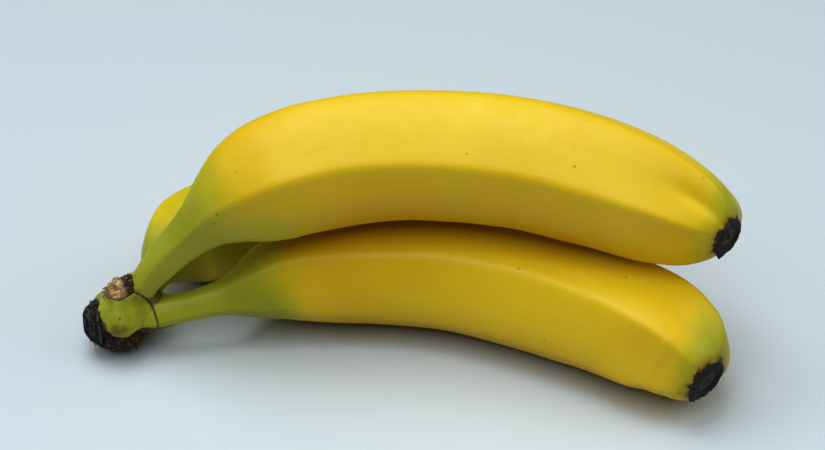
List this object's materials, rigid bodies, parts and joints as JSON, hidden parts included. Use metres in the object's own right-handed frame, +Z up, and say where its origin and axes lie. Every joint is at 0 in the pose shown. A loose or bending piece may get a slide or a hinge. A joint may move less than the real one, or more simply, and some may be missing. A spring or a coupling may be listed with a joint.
{
  "type": "banana bunch",
  "caption": "Small hand of ripe dessert bananas joined at one crown, lying on its side, with dried crown cut and black blossom ends; a fruit to eat, weigh or set on a table.",
  "frame": {"origin": "middle of the footprint, on the surface the fruit lies on", "axes": "+X from the crown to the blossom ends, +Y away from the side pictured, +Z up"},
  "size_m": [0.1808, 0.1002, 0.0719],
  "materials": {
    "peel": "smooth waxy satin peel, yellow with green at the stalks and tips",
    "blossom_end": "dry, black and corky",
    "crown_cut": "dried, torn and fibrous"
  },
  "bodies": {
    "root": {"banana_bunch": "peel"}
  },
  "joints": []
}
